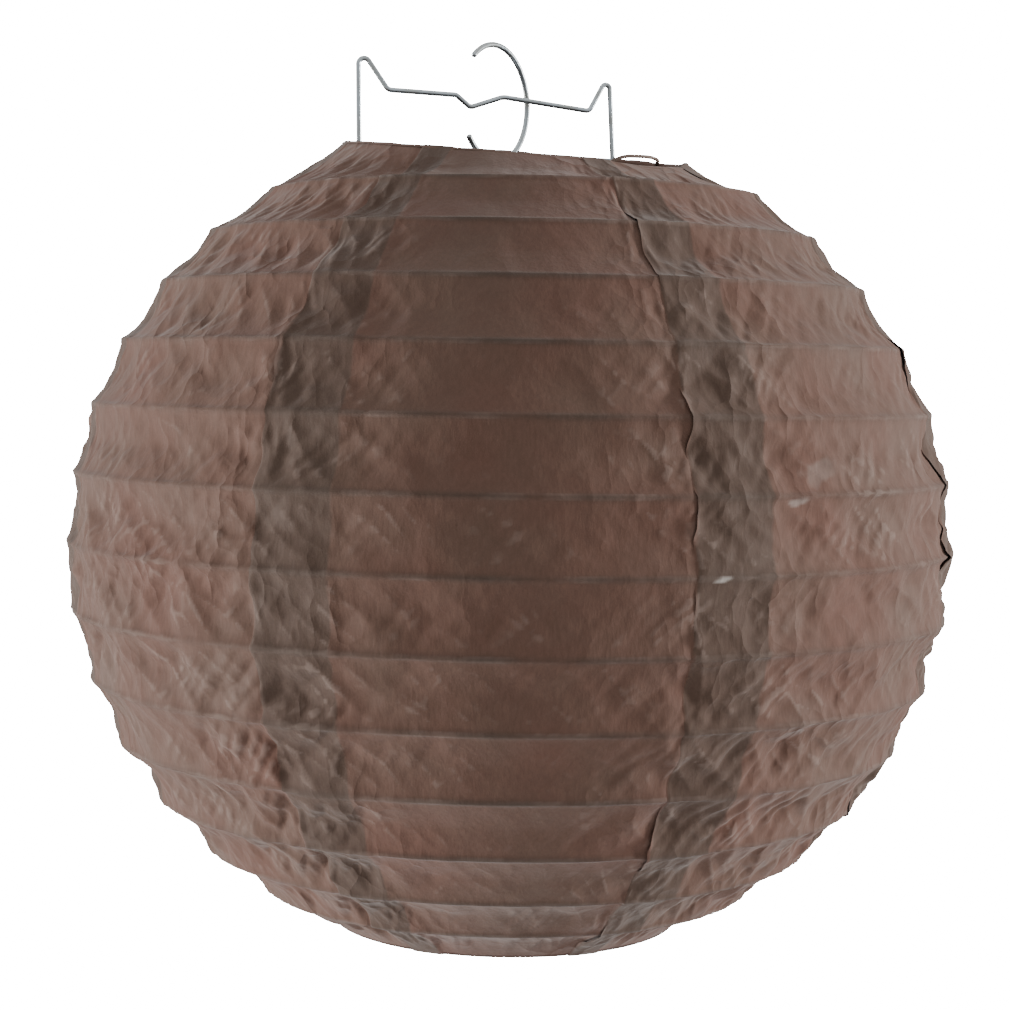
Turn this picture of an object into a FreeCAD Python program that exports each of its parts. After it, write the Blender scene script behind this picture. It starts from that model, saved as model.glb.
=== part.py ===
"""A round paper lantern of seven lapped paper gores over thirteen wire rib hoops.

A wire expander stands inside it. Its two feet press on the bottom ring, its crossbar hangs in an
open wire hook, and the top ring slides on its legs, so that the paper folds flat towards the
bottom ring. All lengths are in millimetres. The origin is where the hook rests on whatever it is
hung from. +Z is up, +X runs along the expander, and the lantern's own axis is parallel to Z.
"""

import math
import os

import FreeCAD
import Part
from FreeCAD import Vector

# Paper body: the ribs lie on an ellipse turned about the lantern's axis
BODY_RADIUS = 150.0
BODY_HALF_HEIGHT = 142.0
RIB_COUNT = 13
RIB_STEP_DEG = 9.4
RING_LATITUDE_DEG = 67.0
PAPER = 0.25
LAYER_GAP = 0.1
SAG = 1.2  # how far the paper hangs in between two ribs
GORE_COUNT = 7
FIRST_SEAM_DEG = -140.5
LAP_DEG = 10.3
RISER_DEG = 0.4
TAIL_GAP_DEG = 0.3
PAPER_END_DEG = 0.8  # from the ring to the gore's end

# Wires
RIB_WIRE = 1.0
RING_WIRE = 1.6
EXPANDER_WIRE = 1.8
HOOK_WIRE = 2.0
LOOP_WIRE = 1.3
RIB_CLEARANCE = 0.3

# Hems: a sleeve of paper folded round each ring
HEM_BORE = 2.0
HEM_SLIT = 0.6

# The top ring sits out of level on the expander's legs
TOP_TILT_DEG = 7.0
TOP_LOW_SIDE_DEG = -82.0
TOP_LIFT = 1.6

# Hook: an open ring of wire in an upright plane
HOOK_RADIUS = 19.65
HOOK_PLANE_DEG = 36.0
HOOK_START_DEG = -142.0
HOOK_END_DEG = 133.0
HOOK_ABOVE_RING = 19.7  # its centre, above the top ring

# Expander
AXIS_X = 7.5  # the lantern's axis, from the hook
CROSSBAR_ABOVE_RING = 2.0
LEFT_LEG_X = -55.4  # the legs at the top ring's level, from the axis
RIGHT_LEG_X = 36.2
LEFT_HUMP = (-56.1, 36.4)  # the humps' corners before rounding: across, above the ring
RIGHT_HUMP = (34.2, 32.0)
FOOT_ABOVE_RING = 2.9
LEG_AT_BOTTOM = 46.4
FOOT_REACH = 60.0
WELD = 0.3  # how deep the crossbar's ends sink into the legs

INSET = 2 * PAPER + LAYER_GAP + RIB_CLEARANCE + RIB_WIRE / 2  # rib centre below the paper's face
TOP_RING_Z = -(HOOK_ABOVE_RING + HOOK_RADIUS - HOOK_WIRE / 2)


def meridian(latitude_deg, inset=0.0):
    """Radius and height on the body's ellipse, moved in along its normal."""
    lat = math.radians(latitude_deg)
    normal = Vector(math.cos(lat) / BODY_RADIUS, math.sin(lat) / BODY_HALF_HEIGHT, 0).normalize()
    return (
        BODY_RADIUS * math.cos(lat) - inset * normal.x,
        BODY_HALF_HEIGHT * math.sin(lat) - inset * normal.y,
    )


RING_RADIUS, RING_HALF_SPAN = meridian(RING_LATITUDE_DEG, INSET)
CENTRE_Z = TOP_RING_Z - RING_HALF_SPAN
BOTTOM_RING_Z = CENTRE_Z - RING_HALF_SPAN


def lantern_point(radius, height):
    """A point of the half-plane through the lantern's axis, with height from its middle."""
    return Vector(AXIS_X + radius, 0, CENTRE_Z + height)


def hoop(radius, z, wire):
    return Part.makeTorus(radius, wire / 2, Vector(AXIS_X, 0, z), Vector(0, 0, 1))


def rib(number):
    latitude = (number - (RIB_COUNT + 1) / 2) * RIB_STEP_DEG
    radius, height = meridian(latitude, INSET)
    return hoop(radius, CENTRE_Z + height, RIB_WIRE)


def band_latitudes():
    """Latitudes where the paper is held: its two ends and each rib."""
    end = RING_LATITUDE_DEG - PAPER_END_DEG
    last = (RIB_COUNT - 1) / 2
    ribs = [RIB_STEP_DEG * (n - last) for n in range(RIB_COUNT)]
    return [-end, *ribs, end]


def sagging_line(inset):
    """The paper's section at one depth: an arc from each rib to the next, hanging in a little."""
    latitudes = band_latitudes()
    edges = []
    for low, high in zip(latitudes, latitudes[1:]):
        a, b = lantern_point(*meridian(low, inset)), lantern_point(*meridian(high, inset))
        across = (b - a).normalize()
        inward = Vector(-across.z, 0, across.x)
        share = min(1.0, (high - low) / RIB_STEP_DEG)
        edges.append(Part.Arc(a, (a + b) / 2 + inward * SAG * share, b).toShape())
    return edges


def paper_sector(outer, inner, start_deg, sweep_deg):
    """A shell between two depths below the face, over part of the way round the axis."""
    out_edges, in_edges = sagging_line(outer), sagging_line(inner)
    ends = [
        Part.LineSegment(out_edges[n].Vertexes[n].Point, in_edges[n].Vertexes[n].Point).toShape()
        for n in (0, -1)
    ]
    face = Part.Face(Part.Wire(Part.__sortEdges__(out_edges + in_edges + ends)))
    axis = Vector(AXIS_X, 0, 0)
    face.rotate(axis, Vector(0, 0, 1), start_deg)
    return face.revolve(axis, Vector(0, 0, 1), sweep_deg)


def gore(number):
    """One gore: its leading margin lies over its neighbour's tail, then it steps down a layer."""
    step = 360.0 / GORE_COUNT
    start = FIRST_SEAM_DEG + (number - 1) * step
    under = PAPER + LAYER_GAP
    over_lap = paper_sector(0, PAPER, start, LAP_DEG)
    riser = paper_sector(0, under + PAPER, start + LAP_DEG, RISER_DEG)
    field = paper_sector(under, under + PAPER, start + LAP_DEG, step - TAIL_GAP_DEG)
    return over_lap.fuse([riser, field]).removeSplitter()


def hem(z):
    """Paper sleeve folded round a ring, with its slit towards the lantern's inside."""
    centre = Vector(AXIS_X + RING_RADIUS, 0, z)
    bore, skin = HEM_BORE / 2, HEM_BORE / 2 + PAPER
    rings = [Part.Circle(centre, Vector(0, 1, 0), r).toShape() for r in (skin, bore)]
    outer, inner = [Part.Face(Part.Wire(ring)) for ring in rings]
    half = HEM_SLIT / 2
    corners = [(0, -half), (-2 * skin, -half), (-2 * skin, half), (0, half), (0, -half)]
    slit = Part.Face(Part.makePolygon([centre + Vector(x, 0, up) for x, up in corners]))
    return outer.cut([inner, slit]).Faces[0].revolve(Vector(AXIS_X, 0, 0), Vector(0, 0, 1), 360)


def tilt_top(shape):
    """Lays a piece of the top ring out of level about the ring's middle, and lifts it."""
    low = math.radians(TOP_LOW_SIDE_DEG)
    axis = Vector(-math.sin(low), math.cos(low), 0)
    shape.rotate(Vector(AXIS_X, 0, TOP_RING_Z), axis, TOP_TILT_DEG)
    shape.translate(Vector(0, 0, TOP_LIFT))
    return shape


def rounded_path(points, radii):
    """Straight runs through the points, joined by tangent arcs of the given radii."""
    edges = []
    start = points[0]
    for before, corner, after, radius in zip(points, points[1:], points[2:], radii):
        back, ahead = (before - corner).normalize(), (after - corner).normalize()
        half = back.getAngle(ahead) / 2
        bisector = (back + ahead).normalize()
        reach = radius / math.tan(half)
        middle = corner + bisector * (radius / math.sin(half) - radius)
        enter, leave = corner + back * reach, corner + ahead * reach
        edges.append(Part.LineSegment(start, enter).toShape())
        edges.append(Part.Arc(enter, middle, leave).toShape())
        start = leave
    edges.append(Part.LineSegment(start, points[-1]).toShape())
    return Part.Wire(edges)


def swept_wire(path, diameter):
    first = path.OrderedEdges[0]
    start = first.firstVertex(True).Point
    direction = first.tangentAt(first.FirstParameter)
    if (first.valueAt(first.FirstParameter) - start).Length > 1e-6:
        direction = first.tangentAt(first.LastParameter) * -1
    section = Part.Wire(Part.Circle(start, direction, diameter / 2).toShape())
    return path.makePipeShell([section], True, False)


def expander_wire():
    """One bent wire: foot, leg, hump, dipped top bar, hump, leg and foot."""
    foot_z = BOTTOM_RING_Z - TOP_RING_Z + FOOT_ABOVE_RING
    corners = [  # across from the lantern's axis, height above the top ring, bend radius
        (-FOOT_REACH, foot_z, 0),
        (-LEG_AT_BOTTOM, foot_z, 3.0),
        (LEFT_LEG_X, 0, 30.0),
        (*LEFT_HUMP, 2.0),
        (-45.6, 22.2, 2.5),
        (-21.5, 21.8, 2.0),
        (-16.4, 17.9, 2.0),
        (-4.7, 22.0, 6.0),
        (27.0, 18.9, 2.0),
        (*RIGHT_HUMP, 1.5),
        (RIGHT_LEG_X, 0, 30.0),
        (LEG_AT_BOTTOM, foot_z, 3.0),
        (FOOT_REACH, foot_z, 0),
    ]
    points = [Vector(AXIS_X + x, 0, TOP_RING_Z + z) for x, z, _ in corners]
    path = rounded_path(points, [radius for _, _, radius in corners[1:-1]])
    return swept_wire(path, EXPANDER_WIRE)


def crossbar_ends():
    """Where the crossbar starts and stops, just under the faces of the two legs."""

    def leg(foot_x, hump):
        return foot_x + (hump[0] - foot_x) * CROSSBAR_ABOVE_RING / hump[1]

    inset = EXPANDER_WIRE / 2 - WELD
    return leg(LEFT_LEG_X, LEFT_HUMP) + inset, leg(RIGHT_LEG_X, RIGHT_HUMP) - inset


def expander_crossbar():
    left, right = crossbar_ends()
    start = Vector(AXIS_X + left, 0, TOP_RING_Z + CROSSBAR_ABOVE_RING)
    return Part.makeCylinder(EXPANDER_WIRE / 2, right - left, start, Vector(1, 0, 0))


def hanging_hook():
    """Open ring of wire whose bowl carries the crossbar."""
    plane = math.radians(HOOK_PLANE_DEG)
    across = Vector(math.cos(plane), math.sin(plane), 0)
    centre = Vector(0, 0, TOP_RING_Z + HOOK_ABOVE_RING)

    def on_ring(angle_deg):
        angle = math.radians(angle_deg)
        return centre + (across * math.cos(angle) + Vector(0, 0, math.sin(angle))) * HOOK_RADIUS

    middle_deg = (HOOK_START_DEG + HOOK_END_DEG) / 2
    arc = Part.Arc(on_ring(HOOK_START_DEG), on_ring(middle_deg), on_ring(HOOK_END_DEG)).toShape()
    hook = swept_wire(Part.Wire([arc]), HOOK_WIRE)
    rims = [e for e in hook.Edges if abs(e.Length - math.pi * HOOK_WIRE) < 0.01 and e.isClosed()]
    return hook.makeFillet(HOOK_WIRE * 0.3, rims)


def eased_path(points):
    """A rounded path whose bends are each as large as the two runs beside them allow."""
    radii = []
    for before, corner, after in zip(points, points[1:], points[2:]):
        half = (before - corner).getAngle(after - corner) / 2
        shorter = min((before - corner).Length, (after - corner).Length)
        radii.append(0.45 * shorter * math.tan(half))
    return rounded_path(points, radii)


def top_ring_loop():
    """Bent wire eye on the top ring, which the expander's right leg slides through."""
    bends = [  # across and back from the lantern's axis, height above the top ring
        (56.8, 11.0, 0.2),
        (55.2, 4.0, 2.4),
        (49.0, -2.8, 3.6),
        (38.6, -3.6, 3.3),
        (33.0, -3.2, 0.4),
        (31.4, -0.6, -2.2),
        (33.6, 2.8, -2.9),
        (40.5, 6.4, -2.2),
        (48.0, 11.4, -1.2),
        (55.0, 17.4, -0.2),
    ]
    points = [Vector(AXIS_X + x, y, TOP_RING_Z + z) for x, y, z in bends]
    return swept_wire(eased_path(points), LOOP_WIRE)


def build():
    nodes = {
        "hanging_hook": hanging_hook(),
        "expander_wire": expander_wire(),
        "expander_crossbar": expander_crossbar(),
        "top_ring": tilt_top(hoop(RING_RADIUS, TOP_RING_Z, RING_WIRE)),
        "top_ring_loop": tilt_top(top_ring_loop()),
        "bottom_ring": hoop(RING_RADIUS, BOTTOM_RING_Z, RING_WIRE),
        "top_hem": tilt_top(hem(TOP_RING_Z)),
        "bottom_hem": hem(BOTTOM_RING_Z),
    }
    for number in range(1, RIB_COUNT + 1):
        nodes[f"rib_{number:02d}"] = rib(number)
    for number in range(1, GORE_COUNT + 1):
        nodes[f"gore_{number}"] = gore(number)
    return nodes


os.makedirs("parts", exist_ok=True)
for name, shape in build().items():
    shape.exportStep(f"parts/{name}.step")
    box = shape.BoundBox
    print(
        name, "valid" if shape.isValid() else "NOT VALID", len(shape.Solids), "solid,",
        round(shape.Volume, 1), "mm3, z", round(box.ZMin, 2), "to", round(box.ZMax, 2),
        "x", round(box.XMin, 2), "to", round(box.XMax, 2),
    )
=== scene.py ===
"""Looks of a round paper lantern: crumpled lapped paper gores over wire hoops, and zinc wires."""

import math
from itertools import product

import bpy
import numpy as np
from mathutils import Matrix, Vector


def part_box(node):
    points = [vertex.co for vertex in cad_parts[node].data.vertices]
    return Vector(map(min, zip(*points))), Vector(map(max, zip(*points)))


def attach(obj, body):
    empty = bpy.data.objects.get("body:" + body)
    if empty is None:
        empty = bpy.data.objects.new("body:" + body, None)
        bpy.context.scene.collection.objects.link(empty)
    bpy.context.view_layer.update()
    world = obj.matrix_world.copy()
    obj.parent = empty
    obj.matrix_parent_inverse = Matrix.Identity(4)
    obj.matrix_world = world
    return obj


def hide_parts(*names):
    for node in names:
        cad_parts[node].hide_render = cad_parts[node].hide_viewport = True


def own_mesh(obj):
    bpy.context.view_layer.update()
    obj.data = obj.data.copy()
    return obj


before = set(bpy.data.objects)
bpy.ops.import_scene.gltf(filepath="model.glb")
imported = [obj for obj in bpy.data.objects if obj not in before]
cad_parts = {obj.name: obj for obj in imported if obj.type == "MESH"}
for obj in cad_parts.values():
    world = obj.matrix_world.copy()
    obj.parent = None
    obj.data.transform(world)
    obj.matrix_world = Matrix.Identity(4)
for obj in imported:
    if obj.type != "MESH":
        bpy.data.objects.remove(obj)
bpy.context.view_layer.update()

MM = 0.001

# The body's smooth shape, in metres
BODY_RADIUS = 0.15
BODY_HALF_HEIGHT = 0.142
TOP_LOW_SIDE = math.radians(-82.0)  # the azimuth where the top ring hangs lowest
RIB_WIRE = 1.0 * MM
RING_WIRE = 1.6 * MM

# Seams: the left edge of each gore lies on its neighbour's tail
GORES = 7
STEP = 2 * math.pi / GORES
FIRST_SEAM = math.radians(-140.5)
LAP = math.radians(10.0)
EDGE_WANDER = 2.1  # millimetres that a free edge strays from a straight cut
LIFT_REACH = 0.0022  # metres from a free edge within which the paper stands off

# How the paper lies on the wires, and how it's folded
PAPER_OFF_RIB = 1.0 * MM  # from a rib's middle to the paper
RIB_STAND = 0.45 * MM  # how far a rib's wire pushes the paper out
BAND_RUN = 0.0245  # metres of paper from one rib to the next
SAG = 2.3 * MM  # inwards, in the middle of a band that's SAG_RUN or longer
SAG_RUN = 0.0255
OVER_LAP = 0.3 * MM
TAIL_DROP = 0.1 * MM
CRUMPLE_BIG = 2.7  # millimetres, like the next two
CRUMPLE_MIDDLE = 2.3
CRUMPLE_FINE = 1.5
DEEPEST_AT_RIB = 0.25  # millimetres that a crumple may go in beside a rib
DEEPER_BETWEEN = 2.2  # millimetres added to that half way between two ribs
PUCKER_DEPTH = 1.5 * MM
RIDGE_HEIGHT = 0.16 * MM  # above the paper around it, for a fold that counts as sharp
RIB_LINE = 1.1 * MM  # half width of the dark line over a rib
SMOOTHNESS = 0.70  # how much smoother the paper is in the gore that faces the camera
SMOOTH_HALF_WIDTH = 0.34  # radians

# Paper folded round the rings
RIM_RADIUS = 1.55 * MM
RIM_GAP = 0.12 * MM  # from the gores' ends to the fold's own surface
HEM_DEPTH = 0.0085
HEM_RAGGED = 0.0012
LOWEST_LIFT = -0.4  # millimetres; any lower, and the ring's wire would show

# Each sheet's own shade, and the places rubbed pale: azimuth in degrees, index of a rib, then
# height above it, half width and half height in metres, and strength
TONES = [0.92, 0.98, 1.02, 0.96, 1.03, 0.98, 0.96]
WORN = [
    (-86.0, 6, -0.3 * MM, 4.0 * MM, 0.7 * MM, 0.95),
    (-75.0, 7, -1.6 * MM, 5.5 * MM, 1.5 * MM, 0.35),
    (-71.0, 7, 7.0 * MM, 9.0 * MM, 4.0 * MM, 0.16),
]

# Fineness of the meshes
MERIDIAN_ROWS = 32  # rows in each band between two ribs
END_ROWS_LESS = 6  # the first and last bands are shorter
ACROSS = 204  # columns in a gore
RIM_COLUMNS = 420
RIM_FOLD_ROWS = 12
RIM_INSIDE_ROWS = 14

# Colours, linear, and lamps in watts
BROWN = (0.126, 0.0705, 0.049, 1)
REDDISH = (0.141, 0.0690, 0.049, 1)
OLIVE = (0.080, 0.050, 0.035, 1)
DUSTY = (0.30, 0.225, 0.19, 1)
RUBBED = (0.46, 0.41, 0.37, 1)
RIB_SHADOW = (0.050, 0.036, 0.027, 1)
FLOOR_DARK = (0.72, 0.72, 0.72, 1)
FLOOR_LIGHT = (0.77, 0.77, 0.77, 1)
LEFT_POWER = 44
RIGHT_POWER = 40
LAMP_DISTANCE = 1.9
LAMP_SIZE = 0.45
SKY_BELOW = 0.48
SKY_ABOVE = 1.0
BACKDROP_WHITE = 40.0  # what the camera sees behind the lantern, burnt out to white

# Camera
CAMERA_SIDE = math.radians(-110.0)  # the azimuth that faces the camera
CAMERA_AZIMUTH = CAMERA_SIDE + math.pi / 2
CAMERA_DISTANCE = 0.789
EYE_ABOVE_MIDDLE = 0.0578
CAMERA_PITCH = math.radians(3.31)
CAMERA_ROLL = math.radians(0.85)
AIM_LEFT = 0.0017
LENS = 81.7
SENSOR = 36.0

# Floor, just out of the camera's view
FLOOR_RADIUS = 2.8
FLOOR_BELOW = 1.25
FLOOR_CORNERS = 96


def middle(node):
    low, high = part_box(node)
    return (Vector(low) + Vector(high)) / 2


def hoop_of(node, wire):
    """Radius and height of a level hoop's centreline."""
    low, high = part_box(node)
    return (high[0] - low[0] - wire) / 2, (low[2] + high[2]) / 2


RIB_NODES = [f"rib_{n:02d}" for n in range(1, 14)]
RIBS = [hoop_of(node, RIB_WIRE) for node in RIB_NODES]
AXIS_X = middle("rib_07").x
MIDDLE_Z = middle("rib_07").z
BOTTOM_RING = hoop_of("bottom_ring", RING_WIRE)
TOP_RING_Z = middle("top_ring").z
TOP_SLOPE = (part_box("top_ring")[1][2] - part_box("top_ring")[0][2] - RING_WIRE) / 2


def hashed(cells, seed):
    """A repeatable pseudo-random integer for each lattice cell."""
    x, y, z = cells[..., 0], cells[..., 1], cells[..., 2]
    h = (x * 374761393 + y * 668265263 + z * 2147483647 + seed * 1274126177) & 0xFFFFFFFF
    h = ((h ^ (h >> 13)) * 1274126177) & 0xFFFFFFFF
    return h ^ (h >> 16)


def noise(points, seed):
    """Gradient noise at points, about -1 to 1."""
    cell = np.floor(points).astype(np.int64)
    f = points - cell
    u = f * f * f * (f * (f * 6 - 15) + 10)
    total = np.zeros(points.shape[:-1])
    for corner in product((0, 1), repeat=3):
        h = hashed(cell + np.array(corner), seed)
        gradient = np.stack([h & 255, (h >> 8) & 255, (h >> 16) & 255], -1) / 127.5 - 1
        weight = np.prod(np.where(np.array(corner, bool), u, 1 - u), -1)
        total += weight * ((f - np.array(corner)) * gradient).sum(-1)
    return total * 1.6


def creases(points, seed):
    """Sharp fold lines, about zero on average."""
    return 0.28 - np.abs(noise(points, seed))


def smooth(x):
    x = np.clip(x, 0, 1)
    return x * x * (3 - 2 * x)


def wrapped(azimuth, height, wavelength, twist=0.0, stretch=1.0):
    """Noise coordinates on the lantern, joined round the axis; twist in radians a metre leans them."""
    turn = azimuth + twist * height
    radius = BODY_RADIUS / wavelength
    return np.stack(
        [np.cos(turn) * radius, np.sin(turn) * radius, height / wavelength / stretch], -1
    )


def rim_lift(azimuth):
    """How far the paper stands above the top ring: highest in front, low beside the wire loop."""
    turn = np.degrees((azimuth - CAMERA_SIDE + math.pi) % (2 * math.pi) - math.pi)
    stand = 1.25 * np.exp(-(((turn + 18) / 52) ** 4)) - 1.3 * np.exp(-(((turn - 58) / 17) ** 2))
    stand += 1.1 * np.exp(-(((turn - 88) / 11) ** 2))
    stand += 0.35 * noise(wrapped(azimuth, 0 * azimuth, 0.05), 63)
    return MM * np.maximum(stand, LOWEST_LIFT)


def band_points(azimuth):
    """Radii and heights where the paper is held at each azimuth: bottom fold, ribs and top fold."""
    radii, heights = [], []
    radius, z = BOTTOM_RING
    radii.append(radius + 0 * azimuth)
    heights.append(z - RIM_RADIUS + 0 * azimuth)
    for radius, z in RIBS:
        normal = np.array([radius / BODY_RADIUS**2, (z - MIDDLE_Z) / BODY_HALF_HEIGHT**2])
        normal = normal / np.linalg.norm(normal) * PAPER_OFF_RIB
        radii.append(radius + normal[0] + 0 * azimuth)
        heights.append(z + normal[1] + 0 * azimuth)
    radii.append(BOTTOM_RING[0] + 0 * azimuth)
    low = TOP_SLOPE * np.cos(azimuth - TOP_LOW_SIDE)
    heights.append(TOP_RING_Z - low + RIM_RADIUS + rim_lift(azimuth))
    return np.array(radii), np.array(heights)


def at_band(table, band):
    """The row of the table that each point's band asks for."""
    return np.take_along_axis(table, band[None], 0)[0]


def base_surface(azimuth, band, share):
    """Paper before its crumples: from one hold to the next, hanging in, creased half way."""
    radii, heights = band_points(azimuth)
    r0, r1 = at_band(radii, band), at_band(radii, band + 1)
    z0, z1 = at_band(heights, band), at_band(heights, band + 1)
    run = np.hypot(r1 - r0, z1 - z0)
    inward_r, inward_z = -(z1 - z0) / run, (r1 - r0) / run
    half_way = 1 - np.abs(2 * share - 1) ** 1.45
    slack = 1 + 0.55 * noise(wrapped(azimuth, z0, 0.055, stretch=0.6), 11)
    slack += 0.35 * noise(wrapped(azimuth, z0, 0.02, stretch=0.5), 12)
    sag = SAG * np.clip(slack, 0.2, 1.9) * half_way * np.clip(run / SAG_RUN, 0.3, 1)
    sag = sag * (0.4 + 0.6 * roughness_of(azimuth))
    radius = r0 + (r1 - r0) * share + inward_r * sag
    height = z0 + (z1 - z0) * share + inward_z * sag
    return radius, height


def facets(azimuth, height, size, seed, twist=0.0, stretch=1.0):
    """Shallow dishes that meet in straight sharp ridges, about zero on average, joined round."""
    count = round(2 * math.pi * BODY_RADIUS / size)
    u = (azimuth + twist * height) * count / (2 * math.pi)
    v = height / size / stretch
    u = u + 0.35 * noise(wrapped(azimuth, height, 2.6 * size), seed + 100)
    cell = np.floor(np.stack([u, v], -1)).astype(np.int64)
    nearest = np.full(u.shape, 9.0)
    for across, up in product((-1, 0, 1), repeat=2):
        column, row = cell[..., 0] + across, cell[..., 1] + up
        h = hashed(np.stack([column % count, row, 0 * row], -1), seed)
        seed_u = column + (h & 1023) / 1023.0
        seed_v = row + ((h >> 10) & 1023) / 1023.0
        nearest = np.minimum(nearest, (u - seed_u) ** 2 + (v - seed_v) ** 2)
    return np.sqrt(nearest + 0.05) - 0.5


def roughness_of(azimuth):
    """1 for most of the paper, and less in the middle of the gore that faces the camera."""
    middle_of_calm = FIRST_SEAM + STEP / 2 + LAP / 2
    turn = (azimuth - middle_of_calm + math.pi) % (2 * math.pi) - math.pi
    return 1 - SMOOTHNESS * np.exp(-((turn / SMOOTH_HALF_WIDTH) ** 4))


def crumple(azimuth, height, share, end_fade):
    """How far the paper stands off its base surface, the same for both layers of a lap."""
    held = 0.06 + 0.94 * np.sin(np.pi * share) ** 0.7
    calm = 0.6 + 0.4 * smooth((TOP_RING_Z - 0.03 - height) / 0.10)
    busy = np.exp(-np.abs(seam_distance(azimuth)) / 0.03)
    patch = 0.65 + 0.7 * smooth(0.5 + 1.4 * noise(wrapped(azimuth, height, 0.05), 21)) + 0.4 * busy
    few = smooth(0.5 + 1.8 * noise(wrapped(azimuth, height, 0.022), 28))
    big = CRUMPLE_BIG * facets(azimuth, height, 0.026, 22, twist=3.0, stretch=0.75)
    big -= CRUMPLE_MIDDLE * facets(azimuth, height, 0.016, 23, twist=-5.0, stretch=0.9)
    fine = CRUMPLE_FINE * facets(azimuth, height, 0.0098, 24, twist=6.0, stretch=1.5)
    fine -= CRUMPLE_FINE * few * facets(azimuth, height, 0.0064, 25, twist=-6.0, stretch=2.0)
    depth = MM * end_fade * calm * patch * roughness_of(azimuth)
    off = depth * (held * big + (0.2 + 0.8 * held) * fine)
    return np.maximum(off, -(DEEPEST_AT_RIB + DEEPER_BETWEEN * held) * MM)


def rib_line(band, share):
    """1 on a rib, fading to 0 within a millimetre or two of it."""
    last = len(RIBS)
    near_low = np.where(band > 0, share, 9.0)
    near_high = np.where(band < last, 1 - share, 9.0)
    return np.exp(-((np.minimum(near_low, near_high) * BAND_RUN / RIB_LINE) ** 2))


def seam_distance(azimuth):
    """Metres at the equator from the nearest seam's free edge, positive on the top layer's side."""
    turn = (azimuth - FIRST_SEAM + STEP / 2) % STEP - STEP / 2
    return turn * BODY_RADIUS


def puckers(azimuth, height, share):
    """Short upright gathers beside a seam, where the glue pulls the paper."""
    away = seam_distance(azimuth)
    near = np.exp(-np.abs(away) / np.where(away > 0, 0.012, 0.007))
    ripple = creases(wrapped(azimuth, height, 0.0065, twist=1.2, stretch=3.2), 31)
    ripple += 0.8 * creases(wrapped(azimuth, height, 0.011, twist=-2.0, stretch=2.6), 32)
    return PUCKER_DEPTH * near * (0.25 + 0.75 * np.sin(np.pi * share)) * ripple


def ridges(off):
    """How sharply the paper is folded outwards, 0 to about 1."""
    around = np.zeros_like(off)
    for shift in (-2, 2):
        around += np.roll(off, shift, 0) + np.roll(off, shift, 1)
    return (off - around / 4) / RIDGE_HEIGHT


def gore_rows():
    """Band number and share of the way up it, for each row of a gore's mesh."""
    bands, shares = [], []
    for band in range(len(RIBS) + 1):
        rows = MERIDIAN_ROWS if 0 < band < len(RIBS) else MERIDIAN_ROWS - END_ROWS_LESS
        for n in range(rows):
            bands.append(band)
            shares.append(n / rows)
    return np.array(bands + [len(RIBS)]), np.array(shares + [1.0])


def grid_mesh(name, points, attributes):
    """A mesh from a grid of points, rows by columns, with smooth shading."""
    rows, columns = points.shape[:2]
    index = np.arange(rows * columns).reshape(rows, columns)
    quads = np.stack(
        [index[:-1, :-1], index[:-1, 1:], index[1:, 1:], index[1:, :-1]], -1
    ).reshape(-1, 4)
    mesh = bpy.data.meshes.new(name)
    mesh.from_pydata(points.reshape(-1, 3).tolist(), [], quads.tolist())
    mesh.shade_smooth()
    for label, values in attributes:
        layer = mesh.attributes.new(label, "FLOAT", "POINT")
        layer.data.foreach_set("value", values.astype(np.float32).ravel())
    piece = bpy.data.objects.new(name, mesh)
    bpy.context.scene.collection.objects.link(piece)
    return piece


def surface_normals(points):
    along_rows, along_columns = np.gradient(points, axis=0), np.gradient(points, axis=1)
    normal = np.cross(along_columns, along_rows)
    return normal / np.maximum(np.linalg.norm(normal, axis=-1, keepdims=True), 1e-12)


def placed(radius, azimuth, height):
    return np.stack(
        [AXIS_X + radius * np.cos(azimuth), radius * np.sin(azimuth), height], -1
    )


def worn_marks(azimuth, height):
    """How strongly the paper is rubbed pale at each of the WORN places."""
    total = 0 * azimuth
    for turn_deg, rib_index, above, half_wide, half_high, strength in WORN:
        across = (azimuth - math.radians(turn_deg) + math.pi) % (2 * math.pi) - math.pi
        across = across * BODY_RADIUS / half_wide
        up = (height - RIBS[rib_index][1] - above - 0.3 * half_high * np.sin(3 * across)) / half_high
        ragged = 0.3 * noise(wrapped(azimuth, height, 0.003), 71)
        total = total + strength * smooth(2 * (1 - np.hypot(across, up) + ragged))
    return np.clip(total, 0, 1)


def edge_wander(rows, number):
    """How far a gore's free edge strays to either side at each row, about -1 to 1."""
    height = np.interp(np.arange(rows), [0, rows - 1], [BOTTOM_RING[1], TOP_RING_Z])
    flat = 0 * height
    wander = 0.9 * noise(np.stack([height / 0.025, flat, flat + number], -1), 41)
    wander += 0.55 * noise(np.stack([height / 0.007, flat, flat + number], -1), 42)
    return wander


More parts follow.
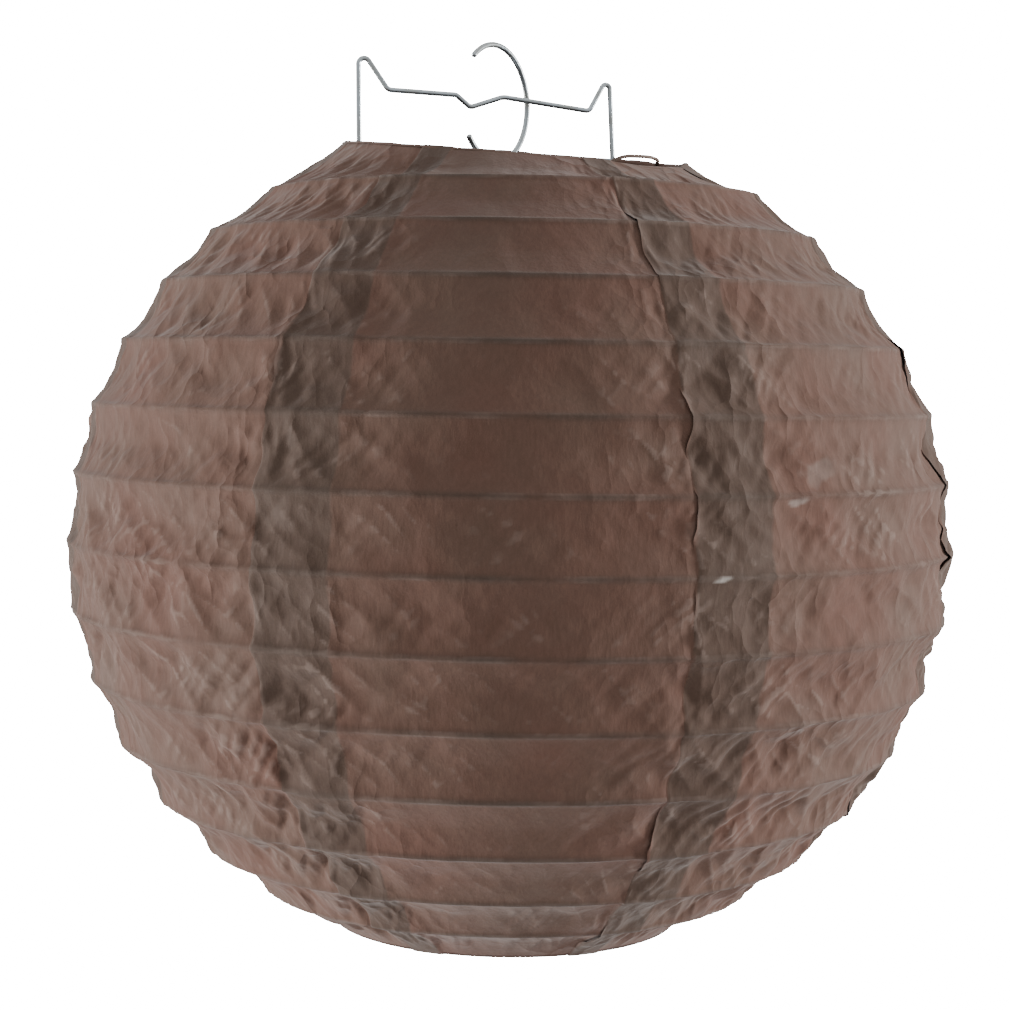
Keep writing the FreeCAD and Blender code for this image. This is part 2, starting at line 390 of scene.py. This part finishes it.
def make_gore(number):
    """One sheet of paper from its free edge to its tail, with its crumples, folds and marks."""
    band, share = gore_rows()
    start = FIRST_SEAM + (number - 1) * STEP
    free_edge = start + edge_wander(len(band), number) * MM * EDGE_WANDER / BODY_RADIUS
    tail_edge = start + STEP + LAP + 0 * free_edge
    across = np.linspace(0, 1, ACROSS)
    azimuth = free_edge[:, None] + (tail_edge - free_edge)[:, None] * across
    band, share = (np.broadcast_to(x[:, None], azimuth.shape) for x in (band, share))
    radius, height = base_surface(azimuth, band, share)
    base = placed(radius, azimuth, height)
    normal = surface_normals(base)
    last = len(RIBS)
    near_top = np.where(band == last, smooth((1 - share) * 2), 1.0)
    end_fade = np.where(band == 0, smooth(share * 2), near_top)
    off = crumple(azimuth, height, share, end_fade) + end_fade * puckers(azimuth, height, share)
    line = rib_line(band, share)
    off = off + RIB_STAND * line
    line = line * (1.15 - 0.75 * roughness_of(azimuth))
    turn = azimuth - start
    on_top = 1 - smooth((turn - LAP) / math.radians(1.6))
    under = smooth((turn - STEP + math.radians(2.0)) / math.radians(2.0))
    off = off + OVER_LAP * on_top - TAIL_DROP * under
    edge = np.exp(-np.maximum(turn, 0) * BODY_RADIUS / LIFT_REACH)
    lift = smooth(1.7 * noise(wrapped(azimuth, height, 0.014, stretch=1.3), 50 + number) - 0.1)
    off = off + MM * edge * (1.0 * end_fade * lift - 0.1)
    glued = 1 - smooth(4 * lift)
    off[:, 0] -= 0.3 * MM * glued[:, 0]
    points = base + normal * off[..., None]
    tone = np.full(azimuth.shape, TONES[number - 1])
    strip = smooth(turn / math.radians(0.12)) * (1 - smooth((turn - LAP) / math.radians(0.25)))
    ridge = np.clip(ridges(off) / (0.3 + 0.7 * roughness_of(azimuth)), 0, 1)
    mark = worn_marks(azimuth, height)
    looks = [
        ("tone", tone),
        ("strip", strip),
        ("ridge", ridge),
        ("line", line),
        ("rough", roughness_of(azimuth)),
        ("mark", mark),
    ]
    return grid_mesh(f"paper_gore_{number}", points, looks)


def rim(name, upper):
    """Paper folded round a ring: over its outside, across the top and down inside to a ragged edge."""
    azimuth = np.linspace(0, 2 * math.pi, RIM_COLUMNS + 1)
    side = 1 if upper else -1
    ring_z = BOTTOM_RING[1] + 0 * azimuth
    if upper:
        ring_z = TOP_RING_Z - TOP_SLOPE * np.cos(azimuth - TOP_LOW_SIDE) + rim_lift(azimuth)
    ragged = np.stack([np.cos(azimuth) * 7, np.sin(azimuth) * 7, 0 * azimuth], -1)
    depth = HEM_DEPTH + HEM_RAGGED * noise(ragged, 61)
    fold_radius = RIM_RADIUS - RIM_GAP
    rows = []
    for angle in np.linspace(math.radians(35), math.radians(180), RIM_FOLD_ROWS):
        outwards = fold_radius * math.cos(angle)
        above = side * fold_radius * math.sin(angle)
        rows.append((BOTTOM_RING[0] + outwards + 0 * azimuth, ring_z + above))
    for n in range(1, RIM_INSIDE_ROWS + 1):
        down = n / RIM_INSIDE_ROWS
        inside = BOTTOM_RING[0] - RIM_RADIUS + RIM_GAP + 1.6 * MM * down**1.5
        rows.append((inside + 0 * azimuth, ring_z - side * depth * down))
    radius, height = (np.array([row[k] for row in rows]) for k in (0, 1))
    turn = np.broadcast_to(azimuth, radius.shape)
    points = placed(radius, turn, height)
    inner = smooth((np.arange(len(rows)) - RIM_FOLD_ROWS + 3) / 8)[:, None]
    coords = np.stack([np.cos(turn) * 22, np.sin(turn) * 22, height / 0.02], -1)
    off = 0.45 * MM * inner * creases(coords, 62)
    points = points + surface_normals(points) * off[..., None]
    points[:, -1] = points[:, 0]
    flat = np.zeros(radius.shape)
    looks = [
        ("tone", flat + 0.92),
        ("strip", flat),
        ("ridge", flat),
        ("line", flat),
        ("rough", flat + 0.6),
        ("mark", flat),
    ]
    return grid_mesh(name, points, looks)


def node_tree(name):
    material = bpy.data.materials.new(name)
    material.use_nodes = True
    return material, material.node_tree.nodes, material.node_tree.links


def noise_node(nodes, links, scale, detail=4.0, stretch=(1, 1, 1)):
    place = nodes.new("ShaderNodeTexCoord")
    mapping = nodes.new("ShaderNodeMapping")
    mapping.inputs["Scale"].default_value = stretch
    texture = nodes.new("ShaderNodeTexNoise")
    texture.inputs["Scale"].default_value = scale
    texture.inputs["Detail"].default_value = detail
    links.new(place.outputs["Object"], mapping.inputs["Vector"])
    links.new(mapping.outputs["Vector"], texture.inputs["Vector"])
    return texture.outputs["Fac"]


def ramp(nodes, links, value, low, high, out_low=0.0, out_high=1.0):
    spread = nodes.new("ShaderNodeMapRange")
    spread.inputs["From Min"].default_value = low
    spread.inputs["From Max"].default_value = high
    spread.inputs["To Min"].default_value = out_low
    spread.inputs["To Max"].default_value = out_high
    links.new(value, spread.inputs["Value"])
    return spread.outputs["Result"]


def feed(links, value, socket):
    """Link another node's output to the socket, or set it to a plain value."""
    if isinstance(value, bpy.types.NodeSocket):
        links.new(value, socket)
    else:
        socket.default_value = value


def mixed(nodes, links, factor, first, second, kind="MIX"):
    mix = nodes.new("ShaderNodeMix")
    mix.data_type = "RGBA"
    mix.blend_type = kind
    for socket, value in ((mix.inputs[0], factor), (mix.inputs[6], first), (mix.inputs[7], second)):
        feed(links, value, socket)
    return mix.outputs[2]


def arithmetic(nodes, links, kind, first, second):
    node = nodes.new("ShaderNodeMath")
    node.operation = kind
    for socket, value in zip(node.inputs, (first, second)):
        feed(links, value, socket)
    return node.outputs[0]


def times(nodes, links, first, second):
    return arithmetic(nodes, links, "MULTIPLY", first, second)


def plus(nodes, links, first, second):
    return arithmetic(nodes, links, "ADD", first, second)


def attribute(nodes, label):
    node = nodes.new("ShaderNodeAttribute")
    node.attribute_name = label
    return node.outputs["Fac"]


def bump(nodes, links, height, distance, strength, shader):
    node = nodes.new("ShaderNodeBump")
    node.inputs["Distance"].default_value = distance
    node.inputs["Strength"].default_value = strength
    links.new(height, node.inputs["Height"])
    links.new(node.outputs["Normal"], shader.inputs["Normal"])


def creased(nodes, links, scale):
    """Small dishes with sharp edges in patches, for creases finer than the mesh."""
    place = nodes.new("ShaderNodeTexCoord")
    warp = nodes.new("ShaderNodeTexNoise")
    warp.inputs["Scale"].default_value = scale * 0.35
    links.new(place.outputs["Object"], warp.inputs["Vector"])
    bent = nodes.new("ShaderNodeVectorMath")
    bent.operation = "MULTIPLY_ADD"
    bent.inputs[1].default_value = (1.6 / scale, 1.6 / scale, 2.6 / scale)
    links.new(warp.outputs["Color"], bent.inputs[0])
    links.new(place.outputs["Object"], bent.inputs[2])
    mapping = nodes.new("ShaderNodeMapping")
    mapping.inputs["Scale"].default_value = (1, 1, 0.5)
    links.new(bent.outputs[0], mapping.inputs["Vector"])
    cells = nodes.new("ShaderNodeTexVoronoi")
    cells.inputs["Scale"].default_value = scale
    links.new(mapping.outputs["Vector"], cells.inputs["Vector"])
    dish = times(nodes, links, cells.outputs["Distance"], cells.outputs["Distance"])
    return times(nodes, links, dish, ramp(nodes, links, noise_node(nodes, links, 38, 3), 0.42, 0.62))


def paper_material():
    """Thin brown tissue: mottled, darker where doubled, paler and worn along its folds."""
    material, nodes, links = node_tree("brown_tissue")
    shader = nodes["Principled BSDF"]
    mottle = noise_node(nodes, links, 28, 6)
    colour = mixed(nodes, links, ramp(nodes, links, mottle, 0.35, 0.68), BROWN, REDDISH)
    strip = times(nodes, links, attribute(nodes, "strip"), 0.8)
    colour = mixed(nodes, links, strip, colour, OLIVE)
    fibre = noise_node(nodes, links, 900, 3, (1, 1, 0.35))
    shade = ramp(nodes, links, fibre, 0.3, 0.7, 0.93, 1.07)
    cloud = ramp(nodes, links, noise_node(nodes, links, 9, 3), 0.3, 0.7, 0.93, 1.07)
    tone = times(nodes, links, times(nodes, links, attribute(nodes, "tone"), shade), cloud)
    grey = nodes.new("ShaderNodeCombineColor")
    for socket in grey.inputs[:3]:
        links.new(tone, socket)
    colour = mixed(nodes, links, 1.0, colour, grey.outputs[0], "MULTIPLY")
    folded = ramp(nodes, links, attribute(nodes, "ridge"), 0.30, 1.0, 0.0, 0.30)
    patchy = ramp(nodes, links, noise_node(nodes, links, 60, 4), 0.42, 0.62)
    worn = times(nodes, links, folded, patchy)
    colour = mixed(nodes, links, worn, colour, DUSTY)
    broken = ramp(nodes, links, noise_node(nodes, links, 30, 4, (1, 1, 0.1)), 0.35, 0.6, 0.35, 0.8)
    mark = attribute(nodes, "mark")
    colour = mixed(nodes, links, mark, colour, RUBBED)
    line = times(nodes, links, attribute(nodes, "line"), broken)
    colour = mixed(nodes, links, line, colour, RIB_SHADOW)
    links.new(colour, shader.inputs["Base Color"])
    links.new(ramp(nodes, links, mottle, 0.3, 0.7, 0.72, 0.86), shader.inputs["Roughness"])
    shader.inputs["Specular IOR Level"].default_value = 0.32
    shader.inputs["Sheen Weight"].default_value = 0.12
    shader.inputs["Sheen Roughness"].default_value = 0.45
    fine = plus(nodes, links, fibre, noise_node(nodes, links, 240, 4))
    fine = times(nodes, links, fine, 0.10)
    tiny = times(nodes, links, creased(nodes, links, 170), attribute(nodes, "rough"))
    bump(nodes, links, plus(nodes, links, fine, tiny), 0.0012, 1.0, shader)
    return material


def wire_material(name, light, dark, rough, metallic=1.0):
    """Wire of a light shade that's dulled in patches to a dark one, with a fine grain."""
    material, nodes, links = node_tree(name)
    shader = nodes["Principled BSDF"]
    patch = noise_node(nodes, links, 130, 5)
    colour = mixed(nodes, links, ramp(nodes, links, patch, 0.38, 0.66), light, dark)
    links.new(colour, shader.inputs["Base Color"])
    shader.inputs["Metallic"].default_value = metallic
    grain = noise_node(nodes, links, 900, 2, (1, 1, 0.2))
    links.new(ramp(nodes, links, patch, 0.3, 0.7, rough, rough + 0.16), shader.inputs["Roughness"])
    bump(nodes, links, grain, 0.00003, 0.5, shader)
    return material


def clothe(node, material):
    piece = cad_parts[node]
    piece.data.materials.clear()
    piece.data.materials.append(material)


def dress_wires():
    zinc = wire_material("zinc_wire", (0.60, 0.67, 0.72, 1), (0.42, 0.44, 0.42, 1), 0.2)
    hook = wire_material("hook_wire_coat", (0.55, 0.61, 0.64, 1), (0.36, 0.36, 0.33, 1), 0.24)
    dull = wire_material("dull_steel_wire", (0.46, 0.46, 0.45, 1), (0.30, 0.27, 0.24, 1), 0.36)
    brown = wire_material("brown_wrapped_wire", (0.13, 0.082, 0.062, 1), (0.19, 0.13, 0.10, 1), 0.5, 0.0)
    for node in ("expander_wire", "expander_crossbar"):
        clothe(node, zinc)
    clothe("hanging_hook", hook)
    for node in ("top_ring", "bottom_ring", *RIB_NODES):
        clothe(node, dull)
    clothe("top_ring_loop", brown)


def make_paper():
    paper = paper_material()
    for number in range(1, GORES + 1):
        piece = make_gore(number)
        piece.data.materials.append(paper)
        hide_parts(f"gore_{number}")
        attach(piece, "frame")
        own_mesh(piece)
    for name, node, upper, body in (
        ("paper_rim_top", "top_hem", True, "top"),
        ("paper_rim_bottom", "bottom_hem", False, "frame"),
    ):
        piece = rim(name, upper)
        piece.data.materials.append(paper)
        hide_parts(node)
        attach(piece, body)


def camera():
    back = Vector((math.sin(CAMERA_AZIMUTH), -math.cos(CAMERA_AZIMUTH), 0))
    right = Vector((math.cos(CAMERA_AZIMUTH), math.sin(CAMERA_AZIMUTH), 0))
    data = bpy.data.cameras.new("camera")
    data.lens, data.sensor_width = LENS, SENSOR
    data.clip_start, data.clip_end = 0.05, 100
    eye = bpy.data.objects.new("camera", data)
    eye.location = (
        Vector((AXIS_X, 0, MIDDLE_Z + EYE_ABOVE_MIDDLE)) + back * CAMERA_DISTANCE - right * AIM_LEFT
    )
    look = -back * math.cos(CAMERA_PITCH) - Vector((0, 0, math.sin(CAMERA_PITCH)))
    turn = look.to_track_quat("-Z", "Y").to_matrix()
    eye.rotation_mode = "QUATERNION"
    eye.rotation_quaternion = (turn @ Matrix.Rotation(CAMERA_ROLL, 3, "Z")).to_quaternion()
    bpy.context.scene.collection.objects.link(eye)
    bpy.context.scene.camera = eye


def area_light(name, right_deg, elevation_deg, power):
    """A soft white lamp that faces the lantern, from so far round to the camera's right."""
    a, e = CAMERA_AZIMUTH + math.radians(right_deg), math.radians(elevation_deg)
    way = Vector((math.sin(a) * math.cos(e), -math.cos(a) * math.cos(e), math.sin(e)))
    data = bpy.data.lights.new(name, "AREA")
    data.shape, data.size, data.energy = "SQUARE", LAMP_SIZE, power
    lamp = bpy.data.objects.new(name, data)
    lamp.location = Vector((AXIS_X, 0, MIDDLE_Z)) + way * LAMP_DISTANCE
    lamp.rotation_mode = "QUATERNION"
    lamp.rotation_quaternion = way.to_track_quat("Z", "Y")
    bpy.context.scene.collection.objects.link(lamp)


def studio():
    world = bpy.data.worlds.new("studio")
    world.use_nodes = True
    nodes, links = world.node_tree.nodes, world.node_tree.links
    backdrop = nodes["Background"]
    backdrop.inputs["Color"].default_value = (1, 1, 1, 1)
    direction = nodes.new("ShaderNodeTexCoord")
    parts = nodes.new("ShaderNodeSeparateXYZ")
    links.new(direction.outputs["Generated"], parts.inputs[0])
    strength = ramp(nodes, links, parts.outputs["Z"], 0.0, 1.0, SKY_BELOW, SKY_ABOVE)
    links.new(strength, backdrop.inputs["Strength"])
    white = nodes.new("ShaderNodeBackground")
    white.inputs["Strength"].default_value = BACKDROP_WHITE
    chosen, ray = nodes.new("ShaderNodeMixShader"), nodes.new("ShaderNodeLightPath")
    links.new(ray.outputs["Is Camera Ray"], chosen.inputs[0])
    links.new(backdrop.outputs[0], chosen.inputs[1])
    links.new(white.outputs[0], chosen.inputs[2])
    links.new(chosen.outputs[0], nodes["World Output"].inputs["Surface"])
    bpy.context.scene.world = world
    area_light("left_soft", -86, -12, LEFT_POWER)
    area_light("right_soft", 88, 6, RIGHT_POWER)
    make_floor()


def make_floor():
    mesh = bpy.data.meshes.new("floor")
    corners = [
        (AXIS_X + FLOOR_RADIUS * math.cos(a), FLOOR_RADIUS * math.sin(a), MIDDLE_Z - FLOOR_BELOW)
        for a in np.linspace(0, 2 * math.pi, FLOOR_CORNERS, endpoint=False)
    ]
    mesh.from_pydata(corners, [], [tuple(range(FLOOR_CORNERS))])
    floor = bpy.data.objects.new("floor", mesh)
    bpy.context.scene.collection.objects.link(floor)
    material, nodes, links = node_tree("pale_floor")
    grey = mixed(nodes, links, noise_node(nodes, links, 3), FLOOR_DARK, FLOOR_LIGHT)
    links.new(grey, nodes["Principled BSDF"].inputs["Base Color"])
    mesh.materials.append(material)


camera()
make_paper()
dress_wires()
studio()
